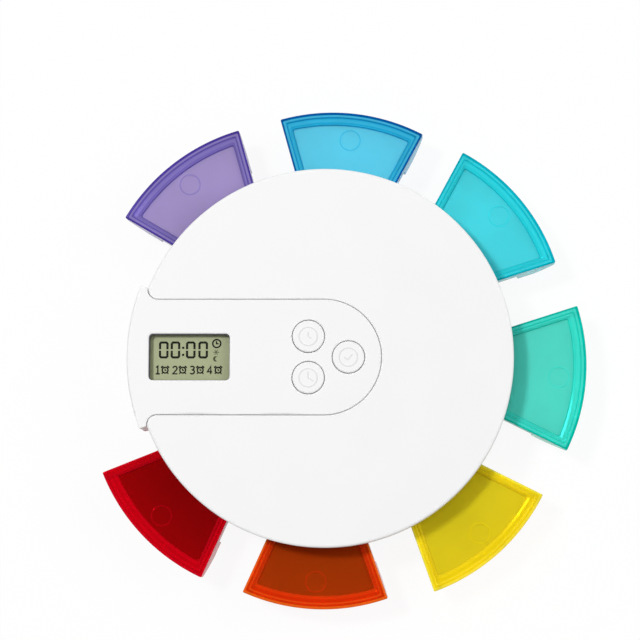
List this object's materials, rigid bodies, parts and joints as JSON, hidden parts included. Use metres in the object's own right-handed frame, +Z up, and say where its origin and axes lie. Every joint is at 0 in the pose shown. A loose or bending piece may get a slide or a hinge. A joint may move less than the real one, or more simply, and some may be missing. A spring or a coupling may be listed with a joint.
{
  "type": "pill dispenser",
  "caption": "Round pill dispenser with a clock panel, push buttons and coloured wedge trays that pull out and have slide-off lids.",
  "frame": {"origin": "on the hub axis at the middle of the flat underside, which stands on the table", "axes": "+Z up; the clock panel points along -X; +X and +Y are the right and the top of the picture"},
  "size_m": [0.1605, 0.1656, 0.0294],
  "materials": {
    "housing_white": "satin white moulded ABS",
    "panel_white": "satin white moulded ABS",
    "button_white": "satin white moulded ABS",
    "dome_rubber": "matt silicone",
    "screw_steel": "zinc plated",
    "lens_clear": "clear polished acrylic",
    "lcd_glass": "liquid crystal glass, olive green",
    "reflector_foil": "matt foil",
    "zebra_rubber": "layered conductive rubber",
    "holder_plastic": "natural nylon",
    "board_green": "solder-masked fibreglass",
    "chip_epoxy": "black epoxy",
    "crystal_can": "polished can",
    "chip_ceramic": "sintered",
    "buzzer_black": "matt",
    "cell_steel": "nickel-plated steel",
    "contact_nickel": "nickel-plated spring steel",
    "violet_tray": "translucent polystyrene",
    "violet_lid": "translucent polystyrene",
    "blue_tray": "translucent polystyrene",
    "blue_lid": "translucent polystyrene",
    "cyan_tray": "translucent polystyrene",
    "cyan_lid": "translucent polystyrene",
    "teal_tray": "translucent polystyrene",
    "teal_lid": "translucent polystyrene",
    "yellow_tray": "translucent polystyrene",
    "yellow_lid": "translucent polystyrene",
    "orange_tray": "translucent polystyrene",
    "orange_lid": "translucent polystyrene",
    "red_tray": "translucent polystyrene",
    "red_lid": "translucent polystyrene"
  },
  "bodies": {
    "housing": {"base_shell": "housing_white", "base_screws": "screw_steel", "mid_deck": "housing_white", "cover_screws": "screw_steel", "top_cover": "housing_white", "control_panel": "panel_white", "lcd_lens": "lens_clear", "lcd_glass": "lcd_glass", "lcd_reflector": "reflector_foil", "zebra_strips": "zebra_rubber", "lcd_holder": "holder_plastic", "circuit_board": "board_green", "board_screws": "screw_steel", "chip_blob": "chip_epoxy", "quartz_crystal": "crystal_can", "chip_parts": "chip_ceramic", "buzzer": "buzzer_black", "hour_dome": "dome_rubber", "minute_dome": "dome_rubber", "set_dome": "dome_rubber", "coin_cell": "cell_steel", "side_contact": "contact_nickel", "top_contact": "contact_nickel"},
    "violet_tray": {"tray_violet": "violet_tray"},
    "violet_lid": {"lid_violet": "violet_lid"},
    "blue_tray": {"tray_blue": "blue_tray"},
    "blue_lid": {"lid_blue": "blue_lid"},
    "cyan_tray": {"tray_cyan": "cyan_tray"},
    "cyan_lid": {"lid_cyan": "cyan_lid"},
    "teal_tray": {"tray_teal": "teal_tray"},
    "teal_lid": {"lid_teal": "teal_lid"},
    "yellow_tray": {"tray_yellow": "yellow_tray"},
    "yellow_lid": {"lid_yellow": "yellow_lid"},
    "orange_tray": {"tray_orange": "orange_tray"},
    "orange_lid": {"lid_orange": "orange_lid"},
    "red_tray": {"tray_red": "red_tray"},
    "red_lid": {"lid_red": "red_lid"},
    "hour_button": {"hour_button": "button_white"},
    "minute_button": {"minute_button": "button_white"},
    "set_button": {"set_button": "button_white"},
    "battery_door": {"battery_door": "housing_white"}
  },
  "joints": [
    {"name": "violet_tray_slide", "type": "slide", "parent": "housing", "child": "violet_tray", "axis": [-0.6129, 0.7902, 0], "range_m": [-0.0185, 0.0265]},
    {"name": "violet_lid_slide", "type": "slide", "parent": "violet_tray", "child": "violet_lid", "axis": [-0.6129, 0.7902, 0], "range_m": [0, 0.044]},
    {"name": "blue_tray_slide", "type": "slide", "parent": "housing", "child": "blue_tray", "axis": [0.108, 0.9942, 0], "range_m": [-0.0181, 0.0269]},
    {"name": "blue_lid_slide", "type": "slide", "parent": "blue_tray", "child": "blue_lid", "axis": [0.108, 0.9942, 0], "range_m": [0, 0.044]},
    {"name": "cyan_tray_slide", "type": "slide", "parent": "housing", "child": "cyan_tray", "axis": [0.7683, 0.6401, 0], "range_m": [-0.0191, 0.0259]},
    {"name": "cyan_lid_slide", "type": "slide", "parent": "cyan_tray", "child": "cyan_lid", "axis": [0.7683, 0.6401, 0], "range_m": [0, 0.044]},
    {"name": "teal_tray_slide", "type": "slide", "parent": "housing", "child": "teal_tray", "axis": [0.9973, -0.0732, 0], "range_m": [-0.0216, 0.0234]},
    {"name": "teal_lid_slide", "type": "slide", "parent": "teal_tray", "child": "teal_lid", "axis": [0.9973, -0.0732, 0], "range_m": [0, 0.044]},
    {"name": "yellow_tray_slide", "type": "slide", "parent": "housing", "child": "yellow_tray", "axis": [0.6665, -0.7455, 0], "range_m": [-0.0209, 0.0241]},
    {"name": "yellow_lid_slide", "type": "slide", "parent": "yellow_tray", "child": "yellow_lid", "axis": [0.6665, -0.7455, 0], "range_m": [0, 0.044]},
    {"name": "orange_tray_slide", "type": "slide", "parent": "housing", "child": "orange_tray", "axis": [-0.0384, -0.9993, 0], "range_m": [-0.0176, 0.0274]},
    {"name": "orange_lid_slide", "type": "slide", "parent": "orange_tray", "child": "orange_lid", "axis": [-0.0384, -0.9993, 0], "range_m": [0, 0.044]},
    {"name": "red_tray_slide", "type": "slide", "parent": "housing", "child": "red_tray", "axis": [-0.7218, -0.6921, 0], "range_m": [-0.0191, 0.0259]},
    {"name": "red_lid_slide", "type": "slide", "parent": "red_tray", "child": "red_lid", "axis": [-0.7218, -0.6921, 0], "range_m": [0, 0.044]},
    {"name": "hour_press", "type": "slide", "parent": "housing", "child": "hour_button", "axis": [0, 0, -1], "range_m": [0, 0.0008], "stiffness_N_per_m": 600, "deforming": ["hour_dome"]},
    {"name": "minute_press", "type": "slide", "parent": "housing", "child": "minute_button", "axis": [0, 0, -1], "range_m": [0, 0.0008], "stiffness_N_per_m": 600, "deforming": ["minute_dome"]},
    {"name": "set_press", "type": "slide", "parent": "housing", "child": "set_button", "axis": [0, 0, -1], "range_m": [0, 0.0008], "stiffness_N_per_m": 600, "deforming": ["set_dome"]},
    {"name": "battery_door_slide", "type": "slide", "parent": "housing", "child": "battery_door", "axis": [-1, 0, 0], "range_m": [0, 0.028]}
  ]
}
